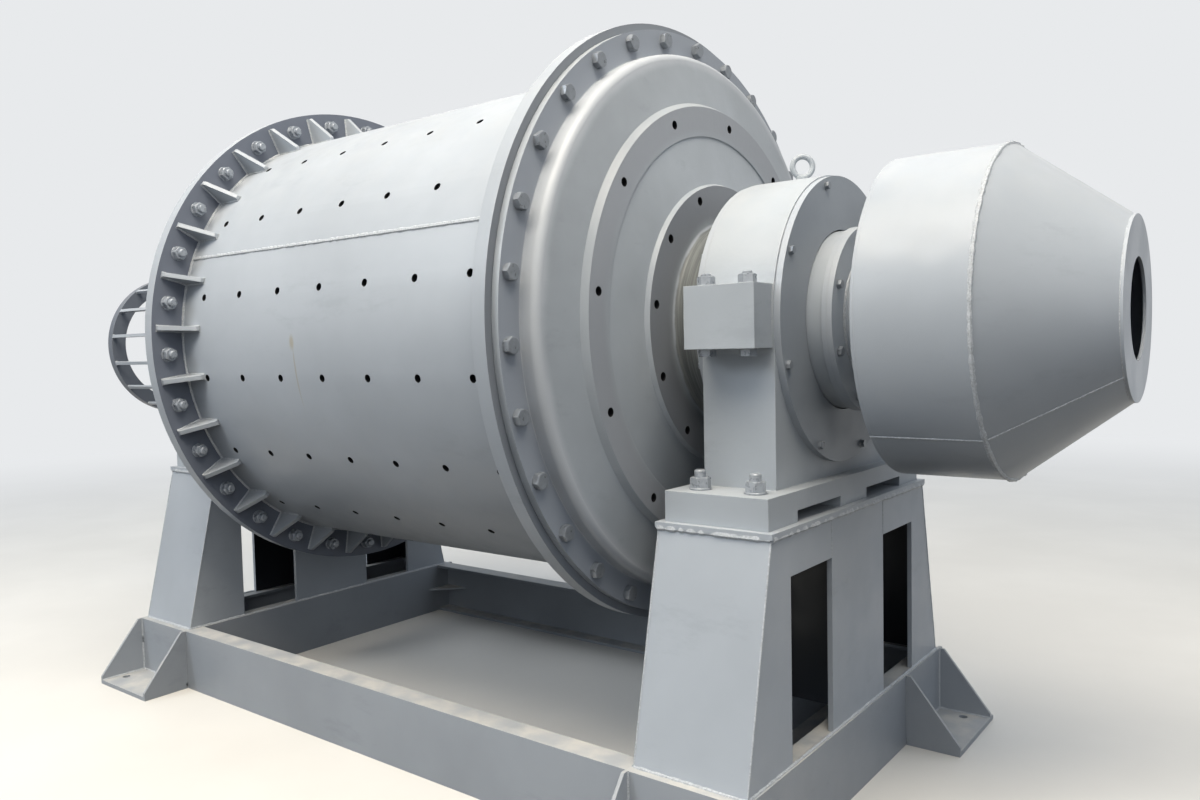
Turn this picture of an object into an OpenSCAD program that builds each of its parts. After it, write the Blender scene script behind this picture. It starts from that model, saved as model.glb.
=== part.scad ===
// Overflow grinding mill: a bolted drum on two trunnion bearings, welded pedestals and a base frame.
// Millimetres, +Z up, X along the drum with the feed end at +X. The origin is under the middle, on the floor.

/* [Layout] */
// Height of the drum's axis above the floor
axis_h = 1810; // [1760:5:2100]
// Angle of the drum's flange bolts at rest, up from the front
bolt_phase = 8.34; // [0:0.01:12]
// Rows of flange bolts and gussets around a drum flange
bolt_count = 30; // [24:6:36]

/* [Drum shell] */
// Length of the shell over its flanges
shell_len = 2200; // [2000:10:2600]
// Outer radius of the shell
shell_r = 1075; // [1060:1:1085]
// Thickness of the shell plate
shell_wall = 25; // [16:1:36]
// Radius of a liner bolt hole
liner_hole_r = 16; // [10:1:20]
// Rows of liner bolt holes around the shell
liner_rows = 18; // [12:2:24]
// Liner bolt holes along one row
liner_cols = 7; // [3:2:7]
// Spacing of the holes along a row
liner_pitch = 290; // [200:5:290]
// Angle of the first row, up from the front
liner_phase = 10; // [0:1:20]

/* [Shell flanges] */
// Radial width of a shell flange
flange_w = 153; // [140:1:185]
// Thickness of a shell flange
flange_t = 60; // [40:2:80]
// Distance of the flange bolt circle from the shell's plate
bolt_circle_out = 81; // [75:1:85]
// Radius of a flange bolt hole
bolt_hole_r = 19.5; // [14:0.5:21]
// Length of a gusset along the shell
gusset_len = 150; // [80:5:200]
// Height of a gusset at the flange, above the shell
gusset_h = 132; // [80:2:140]
// Blunt nose of a gusset where it ends on the shell
gusset_nose = 18; // [8:1:30]
// Thickness of a gusset
gusset_t = 20; // [12:1:26]

/* [Heads] */
// Distance of the rim of a head's flange from its bolt circle
head_rim = 42; // [34:1:54]
// Thickness of a head's flange
head_flange_t = 32; // [24:1:50]
// Depth of the rebate that shows as a line between head and shell flange
rebate_d = 2; // [1:0.5:4]
// Radial width of that rebate
rebate_w = 8; // [4:1:14]
// Distance of the dished face from the bolt circle, where it leaves the flange
dish_in = 61; // [51:1:76]
// Radius of the rounded shoulder of the dished face
shoulder_r = 30; // [20:2:70]
// Distance of the shoulder's crown from the head's seat
shoulder_x = 105; // [90:1:110]
// Distance of the outer boss ring's rim from the edge of the dished face
ring1_in = 213; // [165:1:235]
// Distance of the outer boss ring's face from the head's seat
ring1_x = 157; // [145:1:165]
// Radial width of the outer boss ring, up to the groove at its foot
ring1_w = 122; // [102:1:142]
// Width of the groove
groove_w = 12; // [6:1:20]
// Depth of the groove
groove_d = 5; // [2:1:8]
// Outer radius of the inner boss ring
ring2_r = 565; // [550:1:600]
// Distance of the inner boss ring's face from the head's seat
ring2_x = 195; // [185:1:215]
// Step of the inner boss ring over the band beside it
ring2_step = 19; // [10:1:26]
// Draft of the boss rings' edges
ring_draft = 8; // [2:1:12]
// Distance of the hole circle from the outer boss ring's rim
ring1_hole_in = 53; // [40:1:70]
// Distance of the hole circle from the inner boss ring's rim
ring2_hole_in = 42; // [34:1:60]
// Holes in each boss ring
ring_hole_count = 12; // [8:4:16]
// Radius of a hole in a boss ring
ring_hole_r = 17; // [10:1:20]
// Angle of the first hole in a boss ring, up from the front
ring_hole_phase = 7.6; // [0:0.1:30]
// Wall of the cast head
head_wall = 70; // [50:1:85]
// Extra wall behind the inner boss ring
head_extra = 16; // [6:1:24]

/* [Trunnions] */
// Radius of the neck between head and bearing
neck_r = 400; // [380:1:420]
// Radius of the fillet between head and neck
neck_fillet_r = 20; // [14:1:60]
// Radius of the journal
journal_r = 335; // [320:1:345]
// Radius of the bore through the trunnion
trunnion_bore_r = 262; // [250:1:275]
// Length of journal that stands out past the bearing's outer seal
journal_out = 58; // [45:1:90]
// Outer radius of the liner tube in the trunnion
liner_tube_r = 238; // [225:1:245]
// Wall of the liner tube
liner_tube_wall = 12; // [8:1:16]
// Outer radius of the flanges bolted to the trunnion's end
end_flange_r = 345; // [335:1:360]
// Thickness of each of those flanges
end_flange_t = 20; // [14:1:26]
// Radius of the bolt circle of those flanges
end_bolt_circle_r = 307; // [300:1:315]
// Radius of a hole on that circle
end_bolt_hole_r = 11; // [7:0.5:13]
// Depth of the tapped holes in the trunnion's end
end_bolt_depth = 60; // [30:5:80]
// Bolts on that circle
end_bolt_count = 8; // [6:2:12]
// Angle of the first of those bolts, up from the front
end_bolt_phase = 22.5; // [0:0.5:45]

/* [Bearings] */
// Height of the shaft over the foot of a bearing housing
housing_h = 697; // [680:1:710]
// Distance of a bearing's middle from the shell's end
bearing_gap = 540; // [520:5:640]
// Half width of the bearing housing along the shaft
housing_half_x = 142; // [132:1:155]
// Outer radius of the round part of the housing
housing_r = 545; // [535:1:560]
// Wall of the housing around the bearing ring
housing_wall = 55; // [45:1:75]
// Half width of the bearing ring
ring_half_x = 115; // [90:1:120]
// Running clearance between the journal and the bearing ring
run_clear = 0.3; // [0.1:0.05:0.5]
// Set-back of a seal disc's rim from the housing's
seal_in = 5; // [0:1:15]
// Thickness of a seal disc
seal_t = 25; // [12:1:30]
// Clearance of a seal disc around what turns in it
seal_clear = 5; // [2:0.5:8]
// Distance of a seal disc's bolt circle from its rim
seal_bolt_in = 27; // [20:1:32]
// Radius of a hole on that circle
seal_bolt_hole_r = 9; // [6:0.5:11]
// Bolts of a seal disc
seal_bolt_count = 8; // [6:2:12]
// Angle of the first bolt of a seal disc, up from the front
seal_bolt_phase = 27; // [0:1:45]
// Set-back of the housing's legs from the widest part of its round
leg_in = 13; // [5:1:30]
// Half length of the lugs along the shaft
lug_half_x = 136; // [110:1:140]
// Reach of a lug past its bolts
lug_edge = 60; // [50:1:80]
// Height of the lower lugs below the split
lug_down = 100; // [80:1:120]
// Height of the upper lugs above the split
lug_up = 118; // [80:1:130]
// Distance of a lug bolt from the housing's round
lug_bolt_out = 60; // [50:1:75]
// Distance of a lug bolt from the bearing's middle
lug_bolt_x = 80; // [60:1:95]
// Radius of a lug bolt hole
lug_bolt_hole_r = 17; // [12:0.5:19]
// Half length of the housing's foot along the shaft
foot_half_x = 200; // [190:1:215]
// Reach of the housing's foot past the lugs
foot_out = 40; // [20:1:50]
// Height of the housing's foot
foot_h = 108; // [90:1:115]
// Height of the slots under the foot
slot_h = 40; // [20:1:50]
// Distance of a slot's inner end from the shaft's plane
slot_y0 = 125; // [80:1:180]
// Distance of a slot's outer end from the foot's edge
slot_edge = 215; // [190:5:290]
// Distance of a foot stud from the bearing's middle
foot_bolt_x = 108; // [80:1:120]
// Distance of a foot stud from the foot's edge
foot_bolt_in = 88; // [65:1:105]
// Radius of a hole for a foot stud
foot_bolt_hole_r = 17; // [12:0.5:19]
// Height of the boss under the eye bolt
eye_boss_h = 5; // [3:1:10]
// Radius of the boss under the eye bolt
eye_boss_r = 30; // [28:1:36]
// Radius of the eye bolt's collar
eye_collar_r = 26; // [20:1:28]
// Mean radius of the eye
eye_r = 39; // [30:1:42]
// Radius of the eye's round bar
eye_bar_r = 11; // [8:0.5:14]
// Turn of the eye about the vertical
eye_turn = 38; // [0:1:90]

/* [Feeder] */
// Length of the neck behind its flange
feeder_neck_len = 158; // [140:1:220]
// Outer radius of the feeder's drum
feeder_r = 570; // [540:1:600]
// Wall of the feeder's plates
feeder_wall = 10; // [6:1:14]
// Thickness of the feeder's back plate
feeder_back_t = 12; // [8:1:20]
// Length of the feeder's drum
feeder_len = 355; // [250:5:450]
// Length of the feeder's cone
feeder_cone_len = 350; // [250:5:450]
// Outer radius of the cone's small end
feeder_mouth_r = 300; // [240:1:340]
// Radius of the feed opening
feed_hole_r = 166; // [120:1:200]

/* [Trommel] */
// Length of the trommel's bars
trommel_len = 1151; // [800:1:1300]
// Outer radius of the trommel
trommel_r = 460; // [440:1:480]
// Radial width of the trommel's end ring
trommel_ring_w = 88; // [70:1:100]
// Length of the trommel's end ring
trommel_ring_len = 56; // [30:1:80]
// Bars around the trommel
bar_count = 16; // [12:2:20]
// Angle of the first bar, up from the front
bar_phase = 7.7; // [0:0.1:22.5]
// Width of a bar around the trommel
bar_w = 20; // [12:1:30]
// Thickness of a bar
bar_t = 16; // [10:1:24]
// Thickness of the ring half way along the bars
mid_ring_t = 12; // [8:1:20]

/* [Pedestals] */
// Thickness of the top plate
top_t = 20; // [16:1:30]
// Lip of the top plate over the pedestal's body
top_lip = 9; // [4:1:20]
// Reach of the pedestal's body past the housing's foot, along the shaft
wall_out_x = 18; // [5:1:25]
// Reach of the pedestal's body past the housing's foot at its top, along the drum's breadth
wall_out_y = 17; // [5:1:30]
// Reach of the pedestal's foot past its top
wall_spread = 178; // [120:1:200]
// Thickness of the pedestal's plates
wall_t = 20; // [14:1:26]
// Thickness of the web plate across the middle of a pedestal
web_t = 16; // [10:1:30]
// Inner edge of a window
window_y0 = 250; // [200:1:300]
// Breadth of a window
window_w = 335; // [220:5:370]
// Distance of a window's top from the top plate
window_down = 147; // [100:1:240]

/* [Base frame] */
// Height of the base frame
base_h = 300; // [250:5:320]
// Ledge of a pedestal's base around the pedestal's foot, along the shaft
base_out_x = 12; // [7:1:30]
// Ledge of a pedestal's base around the pedestal's foot, along the drum's breadth
base_out_y = 35; // [10:1:50]
// Set-back of the long beams from the ends of the pedestals' bases
beam_inset = 4; // [0:1:20]
// Web thickness of a channel in the base frame
channel_web = 12; // [8:1:16]
// Flange thickness of a channel in the base frame
channel_flange_t = 16; // [10:1:20]
// Flange width of the channels under a pedestal
channel_w = 84; // [75:1:110]
// Flange width of the long beams
beam_w = 100; // [75:1:120]
// Side of a corner gusset in the base frame
corner_side = 170; // [80:5:200]
// Thickness of a corner gusset
corner_t = 12; // [8:1:20]
// Reach of a foot bracket beyond the base
bracket_reach = 225; // [150:5:260]
// Thickness of a bracket's floor plate
bracket_floor_t = 20; // [12:1:30]
// Thickness of a bracket's gusset
bracket_gusset_t = 14; // [8:1:20]
// Breadth of the side bracket near the base's rear end
side_bracket_w = 457; // [300:1:500]
// Set-back of that bracket from the base's rear end
side_bracket_in = 3; // [2:1:20]
// Reach of that bracket's floor plate past its rear gusset
side_bracket_lip = 38; // [25:1:60]
// Radius of an anchor hole
anchor_hole_r = 19; // [12:1:26]
// Distance of an anchor hole from the face of the base
anchor_out = 122; // [80:1:160]
// Distance of an anchor hole from the inner face of its gusset
anchor_edge = 48; // [40:1:90]

/* [Hidden] */
$fn = 96;
eps = 0.5;
half_len = shell_len / 2;
flange_r = shell_r + flange_w;
bolt_circle_r = shell_r + bolt_circle_out;
head_r = bolt_circle_r + head_rim;
dish_r = bolt_circle_r - dish_in;
ring1_r = dish_r - ring1_in;
groove_r = ring1_r - ring1_w;
ring1_hole_circle_r = ring1_r - ring1_hole_in;
ring2_hole_circle_r = ring2_r - ring2_hole_in;
ring_seat_r = housing_r - housing_wall;
seal_r = housing_r - seal_in;
seal_bolt_circle_r = seal_r - seal_bolt_in;
leg_half_y = housing_r - leg_in;
lug_bolt_y = housing_r + lug_bolt_out;
lug_half_y = lug_bolt_y + lug_edge;
foot_half_y = lug_half_y + foot_out;
slot_y1 = foot_half_y - slot_edge;
foot_bolt_y = foot_half_y - foot_bolt_in;
wall_half_x = foot_half_x + wall_out_x;
wall_top_y = foot_half_y + wall_out_y;
wall_foot_y = wall_top_y + wall_spread;
top_half_x = wall_half_x + top_lip;
top_half_y = wall_top_y + top_lip;
base_half_x = wall_half_x + base_out_x;
base_half_y = wall_foot_y + base_out_y;
bearing_x = half_len + bearing_gap;
seal_out_x = housing_half_x + seal_t;
trunnion_end = bearing_x + seal_out_x + journal_out;
liner_flange_end = trunnion_end + end_flange_t;
outer_flange_end = liner_flange_end + end_flange_t;
feeder_back_x = outer_flange_end + feeder_neck_len;
feeder_x = feeder_back_x + feeder_back_t;
cone_x = feeder_x + feeder_len;
mouth_x = cone_x + feeder_cone_len;
feed_face_x = mouth_x + feeder_wall;
trommel_x = outer_flange_end + trommel_len;
trommel_end_x = trommel_x + trommel_ring_len;
mill_mid_x = (trommel_end_x - feed_face_x) / 2;
neck_shoulder_x = bearing_x - ring_half_x - seal_clear;
gusset_phase = bolt_phase - 180 / bolt_count;
pedestal_top = axis_h - housing_h;
foot_top = pedestal_top + foot_h;
walls_top = pedestal_top - top_t;
window_top = walls_top - window_down;
beam_y = base_half_y - beam_inset;
beam_end_x = bearing_x - base_half_x;
steel_grey = [0.60, 0.62, 0.65];
shade_grey = [0.46, 0.49, 0.53];
dark_grey = [0.36, 0.38, 0.42];
light_grey = [0.70, 0.72, 0.74];
feed = 1;
discharge = -1;

// Points of a quarter arc in steps, from angle a0 to a1 about [cx, cy]
function arc(cx, cy, r, a0, a1, steps) =
    [for (i = [0:steps]) [cx + r * cos(a0 + (a1 - a0) * i / steps), cy + r * sin(a0 + (a1 - a0) * i / steps)]];

// Children drawn with local Z along the shaft, measured from the drum's middle towards one end
module along_shaft(side) {
    translate([mill_mid_x, 0, axis_h]) mirror([side < 0 ? 1 : 0, 0, 0]) rotate([0, 90, 0]) children();
}

// Copies of the children on a circle about local Z, the first at an angle up from the front
module around(count, phase, radius) {
    for (k = [0:count - 1]) {
        rotate([0, 0, -90 - phase - k * 360 / count]) translate([radius, 0, 0]) children();
    }
}

// A ring or tube about local Z
module ring(x0, x1, inner, outer) {
    rotate_extrude() translate([inner, x0]) square([outer - inner, x1 - x0]);
}

// A circle of round holes through a ring about local Z
module hole_circle(count, phase, radius, hole_r, x0, x1) {
    around(count, phase, radius) translate([0, 0, x0 - eps]) cylinder(r = hole_r, h = x1 - x0 + 2 * eps, $fn = 32);
}

// Children placed at one bearing, at floor level, with +X away from the drum
module at_bearing(side) {
    translate([mill_mid_x, 0, 0]) mirror([side < 0 ? 1 : 0, 0, 0]) translate([bearing_x, 0, 0]) children();
}

// Children at the front and mirrored at the rear
module front_and_rear() {
    for (flip = [0, 1]) mirror([0, flip, 0]) children();
}

// A block given by its half length, half breadth and two heights
module block(half_x, half_y, z0, z1) {
    translate([-half_x, -half_y, z0]) cube([2 * half_x, 2 * half_y, z1 - z0]);
}

// A right triangle in local XY with its legs along +X and +Y, extruded along Z
module triangle(leg_x, leg_y, nose, thickness) {
    linear_extrude(thickness) polygon([[0, 0], [leg_x, 0], [leg_x, nose], [nose, leg_y], [0, leg_y]]);
}

// Channel along local X with its back at Y = 0 and its flanges towards +Y
module channel(length) {
    difference() {
        cube([length, beam_w, base_h]);
        translate([-eps, channel_web, channel_flange_t])
            cube([length + 2 * eps, beam_w, base_h - 2 * channel_flange_t]);
    }
}

module drum_shell() {
    color(steel_grey) along_shaft(feed) difference() {
        ring(-half_len, half_len, shell_r - shell_wall, shell_r);
        for (col = [0:liner_cols - 1]) {
            translate([0, 0, (col - (liner_cols - 1) / 2) * liner_pitch])
                around(liner_rows, liner_phase, shell_r - 2 * shell_wall)
                    rotate([0, 90, 0]) cylinder(r = liner_hole_r, h = 3 * shell_wall, $fn = 32);
        }
    }
}

module shell_flange(side) {
    color(steel_grey) along_shaft(side) difference() {
        ring(half_len - flange_t, half_len, shell_r, flange_r);
        hole_circle(bolt_count, bolt_phase, bolt_circle_r, bolt_hole_r, half_len - flange_t, half_len);
    }
}

module shell_gussets() {
    color(light_grey) along_shaft(discharge)
        around(bolt_count, gusset_phase, shell_r)
            translate([0, gusset_t / 2, half_len - flange_t]) rotate([90, 90, 0])
                triangle(gusset_len, gusset_h, gusset_nose, gusset_t);
}

module head(side) {
    crown = half_len + shoulder_x;
    step = ring1_x - shoulder_x;
    inside_x = half_len + ring2_x - head_wall;
    color(light_grey) along_shaft(side) difference() {
        rotate_extrude() polygon(concat(
            [
                [trunnion_bore_r, trunnion_end],
                [trunnion_bore_r, half_len + ring2_x],
                [trunnion_bore_r + head_wall, inside_x],
                [ring2_r, inside_x - head_extra],
                [groove_r, half_len + ring1_x - head_wall],
                [ring1_r, half_len + shoulder_x + step / 2 - head_wall],
                [shell_r - shell_wall, half_len],
                [head_r - rebate_w, half_len],
                [head_r - rebate_w, half_len + rebate_d],
                [head_r, half_len + rebate_d],
                [head_r, half_len + head_flange_t],
                [dish_r, half_len + head_flange_t]
            ],
            arc(dish_r - shoulder_r, crown - shoulder_r, shoulder_r, 0, 90, 8),
            [
                [ring1_r + 2 * ring_draft, half_len + ring1_x - step / 2],
                [ring1_r, half_len + ring1_x],
                [groove_r + groove_w / 2, half_len + ring1_x],
                [groove_r + groove_w / 6, half_len + ring1_x - groove_d],
                [groove_r - groove_w / 6, half_len + ring1_x - groove_d],
                [ring2_r + ring_draft, half_len + ring2_x - ring2_step],
                [ring2_r, half_len + ring2_x]
            ],
            arc(neck_r + neck_fillet_r, half_len + ring2_x + neck_fillet_r, neck_fillet_r, 270, 180, 8),
            [
                [neck_r, neck_shoulder_x],
                [journal_r, neck_shoulder_x],
                [journal_r, trunnion_end]
            ]
        ));
        hole_circle(bolt_count, bolt_phase, bolt_circle_r, bolt_hole_r, half_len, half_len + head_flange_t);
        around(ring_hole_count, ring_hole_phase, ring1_hole_circle_r)
            translate([0, 0, half_len]) cylinder(r = ring_hole_r, h = shell_len, $fn = 32);
        around(ring_hole_count, ring_hole_phase, ring2_hole_circle_r)
            translate([0, 0, half_len]) cylinder(r = ring_hole_r, h = shell_len, $fn = 32);
        hole_circle(end_bolt_count, end_bolt_phase, end_bolt_circle_r, end_bolt_hole_r,
            trunnion_end - end_bolt_depth, trunnion_end);
    }
}

module liner_tube(side) {
    color(shade_grey) along_shaft(side) difference() {
        union() {
            ring(half_len + ring2_x, trunnion_end, liner_tube_r - liner_tube_wall, liner_tube_r);
            ring(trunnion_end, liner_flange_end, liner_tube_r - liner_tube_wall, end_flange_r);
        }
        hole_circle(end_bolt_count, end_bolt_phase, end_bolt_circle_r, end_bolt_hole_r, trunnion_end, liner_flange_end);
    }
}

module feeder_neck() {
    color(steel_grey) along_shaft(feed) difference() {
        union() {
            ring(liner_flange_end, feeder_back_x, liner_tube_r - liner_tube_wall, liner_tube_r);
            ring(liner_flange_end, outer_flange_end, liner_tube_r - liner_tube_wall, end_flange_r);
        }
        hole_circle(end_bolt_count, end_bolt_phase, end_bolt_circle_r, end_bolt_hole_r,
            liner_flange_end, outer_flange_end);
    }
}

module feeder_back_plate() {
    color(steel_grey) along_shaft(feed) ring(feeder_back_x, feeder_x, liner_tube_r - liner_tube_wall, feeder_r);
}

module feeder_drum() {
    color(steel_grey) along_shaft(feed) ring(feeder_x, cone_x, feeder_r - feeder_wall, feeder_r);
}

module feeder_cone() {
    color(light_grey) along_shaft(feed) rotate_extrude() polygon([
        [feeder_r - feeder_wall, cone_x],
        [feeder_r, cone_x],
        [feeder_mouth_r, mouth_x],
        [feeder_mouth_r - feeder_wall, mouth_x]
    ]);
}

module feeder_end_plate() {
    color(steel_grey) along_shaft(feed) ring(mouth_x, feed_face_x, feed_hole_r, feeder_mouth_r);
}

module trommel_flange() {
    color(steel_grey) along_shaft(discharge) difference() {
        ring(liner_flange_end, outer_flange_end, liner_tube_r - liner_tube_wall, trommel_r + bar_t);
        hole_circle(end_bolt_count, end_bolt_phase, end_bolt_circle_r, end_bolt_hole_r,
            liner_flange_end, outer_flange_end);
    }
}

module trommel_bars() {
    color(light_grey) along_shaft(discharge)
        around(bar_count, bar_phase, trommel_r - bar_t)
            translate([0, -bar_w / 2, outer_flange_end]) cube([bar_t, bar_w, trommel_len]);
}

module trommel_mid_ring() {
    mid = outer_flange_end + trommel_len / 2;
    color(steel_grey) along_shaft(discharge)
        ring(mid - trommel_ring_len / 2, mid + trommel_ring_len / 2, trommel_r - bar_t - mid_ring_t, trommel_r - bar_t);
}

module trommel_end_ring() {
    color(dark_grey) along_shaft(discharge) ring(trommel_x, trommel_end_x, trommel_r - trommel_ring_w, trommel_r);
}

// Holes of the lug bolts on both sides of the housing
module lug_holes(z0, z1) {
    for (sx = [-1, 1], sy = [-1, 1]) {
        translate([sx * lug_bolt_x, sy * lug_bolt_y, z0 - eps])
            cylinder(r = lug_bolt_hole_r, h = z1 - z0 + 2 * eps, $fn = 32);
    }
}

// A cylinder across the housing along the shaft
module across(half_x, radius) {
    translate([-half_x, 0, axis_h]) rotate([0, 90, 0]) cylinder(r = radius, h = 2 * half_x);
}

module bearing_body(side) {
    color(steel_grey) at_bearing(side) difference() {
        union() {
            across(housing_half_x, housing_r);
            block(housing_half_x, leg_half_y, foot_top, axis_h);
            block(lug_half_x, lug_half_y, axis_h - lug_down, axis_h);
            block(foot_half_x, foot_half_y, pedestal_top, foot_top);
        }
        translate([0, 0, axis_h]) block(foot_half_x + eps, foot_half_y, 0, housing_r + eps);
        across(housing_half_x + eps, ring_seat_r);
        lug_holes(axis_h - lug_down, axis_h);
        front_and_rear() translate([-foot_half_x - eps, slot_y0, pedestal_top - eps])
            cube([2 * (foot_half_x + eps), slot_y1 - slot_y0, slot_h + eps]);
        for (sx = [-1, 1], sy = [-1, 1]) {
            translate([sx * foot_bolt_x, sy * foot_bolt_y, pedestal_top - eps])
                cylinder(r = foot_bolt_hole_r, h = foot_h + 2 * eps, $fn = 32);
        }
    }
}

module bearing_cap(side) {
    color(light_grey) at_bearing(side) difference() {
        union() {
            across(housing_half_x, housing_r);
            block(lug_half_x, lug_half_y, axis_h, axis_h + lug_up);
            translate([0, 0, axis_h + housing_r - eye_boss_r])
                cylinder(r = eye_boss_r, h = eye_boss_r + eye_boss_h, $fn = 48);
        }
        block(housing_half_x + eps, housing_r + eps, axis_h - housing_r - eps, axis_h);
        across(housing_half_x + eps, ring_seat_r);
        lug_holes(axis_h, axis_h + lug_up);
    }
}

module bearing_ring(side) {
    color(dark_grey) along_shaft(side)
        ring(bearing_x - ring_half_x, bearing_x + ring_half_x, journal_r + run_clear, ring_seat_r);
}

module seal_disc(side, x0, turning_r) {
    color(shade_grey) along_shaft(side) difference() {
        ring(x0, x0 + seal_t, turning_r + seal_clear, seal_r);
        hole_circle(seal_bolt_count, seal_bolt_phase, seal_bolt_circle_r, seal_bolt_hole_r, x0, x0 + seal_t);
    }
}

module inner_seal(side) {
    seal_disc(side, bearing_x - seal_out_x, neck_r);
}

module outer_seal(side) {
    seal_disc(side, bearing_x + housing_half_x, journal_r);
}

module eye_bolt(side) {
    seat = axis_h + housing_r + eye_boss_h;
    color(steel_grey) at_bearing(side) translate([0, 0, seat]) rotate([0, 0, side * eye_turn]) union() {
        cylinder(r = eye_collar_r, h = eye_bar_r, $fn = 48);
        translate([0, 0, eye_bar_r + eye_r]) rotate([90, 0, 0])
            rotate_extrude() translate([eye_r, 0]) circle(r = eye_bar_r, $fn = 32);
    }
}

module top_plate(side) {
    color(light_grey) at_bearing(side) difference() {
        block(top_half_x, top_half_y, walls_top, pedestal_top);
        for (sx = [-1, 1], sy = [-1, 1]) {
            translate([sx * foot_bolt_x, sy * foot_bolt_y, walls_top - eps])
                cylinder(r = foot_bolt_hole_r, h = top_t + 2 * eps, $fn = 32);
        }
    }
}

// Outline of the pedestal's body in YZ
module body_outline() {
    polygon([[-wall_foot_y, base_h], [wall_foot_y, base_h], [wall_top_y, walls_top], [-wall_top_y, walls_top]]);
}

// A plate upright across the drum's breadth, drawn in YZ and given by its middle and half length along the shaft
module upright(half_x) {
    translate([-half_x, 0, 0]) rotate([90, 0, 90]) linear_extrude(2 * half_x) children();
}

module pedestal(side) {
    color(steel_grey) at_bearing(side) {
        difference() {
            upright(wall_half_x) body_outline();
            upright(wall_half_x - wall_t) body_hollow();
            front_and_rear() translate([-wall_half_x - eps, window_y0, base_h - eps])
                cube([2 * (wall_half_x + eps), window_w, window_top - base_h + eps]);
        }
        block(wall_half_x - wall_t / 2, web_t / 2, base_h, walls_top);
    }
}

// Hollow of the pedestal's body, open at the top and the foot
module body_hollow() {
    slope = (wall_foot_y - wall_top_y) / (walls_top - base_h);
    polygon([
        [-wall_foot_y + wall_t - slope * eps, base_h - eps],
        [wall_foot_y - wall_t + slope * eps, base_h - eps],
        [wall_top_y - wall_t - slope * eps, walls_top + eps],
        [-wall_top_y + wall_t + slope * eps, walls_top + eps]
    ]);
}

module pedestal_base(side) {
    color(shade_grey) at_bearing(side) difference() {
        block(base_half_x, base_half_y, 0, base_h);
        block(base_half_x - channel_web, base_half_y - channel_web, channel_flange_t, base_h - channel_flange_t);
        block(base_half_x - channel_w, base_half_y - channel_w, -eps, base_h + eps);
    }
}

// Bracket on a face at Y = 0, reaching to -Y over a breadth along X, with a gusset at each end and two anchor holes
module bracket(breadth, height, lip) {
    difference() {
        union() {
            translate([0, -bracket_reach, 0]) cube([breadth + lip, bracket_reach, bracket_floor_t]);
            for (x = [0, breadth - bracket_gusset_t]) {
                translate([x, 0, bracket_floor_t]) rotate([90, 0, 90])
                    linear_extrude(bracket_gusset_t) polygon([
                        [0, 0],
                        [0, height - bracket_floor_t],
                        [-bracket_floor_t, height - bracket_floor_t],
                        [-bracket_reach, bracket_floor_t],
                        [-bracket_reach, 0]
                    ]);
            }
        }
        for (x = [bracket_gusset_t + anchor_edge, breadth - bracket_gusset_t - anchor_edge]) {
            translate([x, -anchor_out, -eps]) cylinder(r = anchor_hole_r, h = bracket_floor_t + 2 * eps, $fn = 32);
        }
    }
}

module brackets(side) {
    color(shade_grey) at_bearing(side) {
        front_and_rear() translate([-base_half_x, -base_half_y, 0]) bracket(2 * base_half_x, base_h, 0);
        translate([base_half_x, base_half_y - side_bracket_in - side_bracket_w, 0]) rotate([0, 0, 90])
            bracket(side_bracket_w, base_h, side_bracket_lip);
    }
}

module long_beam(flip) {
    color(steel_grey) mirror([0, flip, 0]) translate([mill_mid_x - beam_end_x, -beam_y, 0]) channel(2 * beam_end_x);
}

module corner_gussets() {
    color(light_grey) translate([mill_mid_x, 0, 0]) for (flip = [0, 1]) mirror([flip, 0, 0]) front_and_rear()
        translate([beam_end_x, beam_y - channel_web, (base_h - corner_t) / 2])
            rotate([0, 0, 180]) triangle(corner_side, corner_side, 0, corner_t);
}

drum_shell();
shell_flange(feed);  // feed_shell_flange
shell_flange(discharge);  // discharge_shell_flange
shell_gussets();
head(feed);  // feed_head
head(discharge);  // discharge_head
liner_tube(feed);  // feed_liner_tube
liner_tube(discharge);  // discharge_liner_tube
feeder_neck();
feeder_back_plate();
feeder_drum();
feeder_cone();
feeder_end_plate();
trommel_flange();
trommel_bars();
trommel_mid_ring();
trommel_end_ring();
bearing_body(feed);  // feed_bearing_body
bearing_cap(feed);  // feed_bearing_cap
bearing_ring(feed);  // feed_bearing_ring
inner_seal(feed);  // feed_inner_seal
outer_seal(feed);  // feed_outer_seal
eye_bolt(feed);  // feed_eye_bolt
bearing_body(discharge);  // discharge_bearing_body
bearing_cap(discharge);  // discharge_bearing_cap
bearing_ring(discharge);  // discharge_bearing_ring
inner_seal(discharge);  // discharge_inner_seal
outer_seal(discharge);  // discharge_outer_seal
eye_bolt(discharge);  // discharge_eye_bolt
top_plate(feed);  // feed_top_plate
pedestal(feed);  // feed_pedestal
pedestal_base(feed);  // feed_base
brackets(feed);  // feed_brackets
top_plate(discharge);  // discharge_top_plate
pedestal(discharge);  // discharge_pedestal
pedestal_base(discharge);  // discharge_base
brackets(discharge);  // discharge_brackets
long_beam(0);  // front_beam
long_beam(1);  // rear_beam
corner_gussets();
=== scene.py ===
"""Looks of the grinding mill: its paint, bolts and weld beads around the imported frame, in metres."""

import sys

import logging
import math
import random
from dataclasses import dataclass, field
from enum import Enum
from typing import Iterable, Sequence

import bmesh
import bpy
from mathutils import Matrix, Vector


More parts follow.
